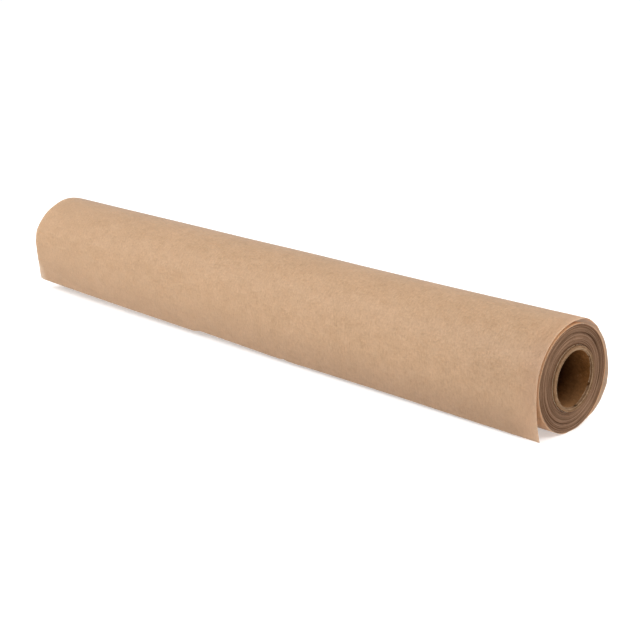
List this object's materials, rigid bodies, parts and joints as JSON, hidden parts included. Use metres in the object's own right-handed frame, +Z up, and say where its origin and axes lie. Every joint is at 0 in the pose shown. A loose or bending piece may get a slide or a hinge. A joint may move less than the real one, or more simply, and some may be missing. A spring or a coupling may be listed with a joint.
{
  "type": "wrapping paper roll",
  "caption": "Roll of plain brown wrapping paper on a cardboard core, with a slack outer turn and a hanging free end.",
  "frame": {"origin": "on the surface the roll rests on, under the middle of its axis", "axes": "+X along the roll's axis, +Z up, the free end of the sheet hangs on the -Y side"},
  "size_m": [0.5034, 0.0735, 0.0695],
  "materials": {
    "kraft_paper": "matt, lightly fibrous",
    "core_board": "matt grey-brown board",
    "glue": "dry paper glue"
  },
  "bodies": {
    "roll": {"core_inner_ply": "core_board", "core_middle_ply": "core_board", "core_outer_ply": "core_board", "start_glue": "glue", "first_turn": "kraft_paper", "wound_paper": "kraft_paper", "close_turn": "kraft_paper", "loose_turn": "kraft_paper"},
    "free_end": {"free_end": "kraft_paper"}
  },
  "joints": [
    {"name": "free_end_lift", "type": "hinge", "parent": "roll", "child": "free_end", "pos_m": [0, -0.03617, 0.03332], "axis": [-1, 0, 0], "range_deg": [0, 80], "stiffness_Nm_per_rad": 0.008}
  ]
}
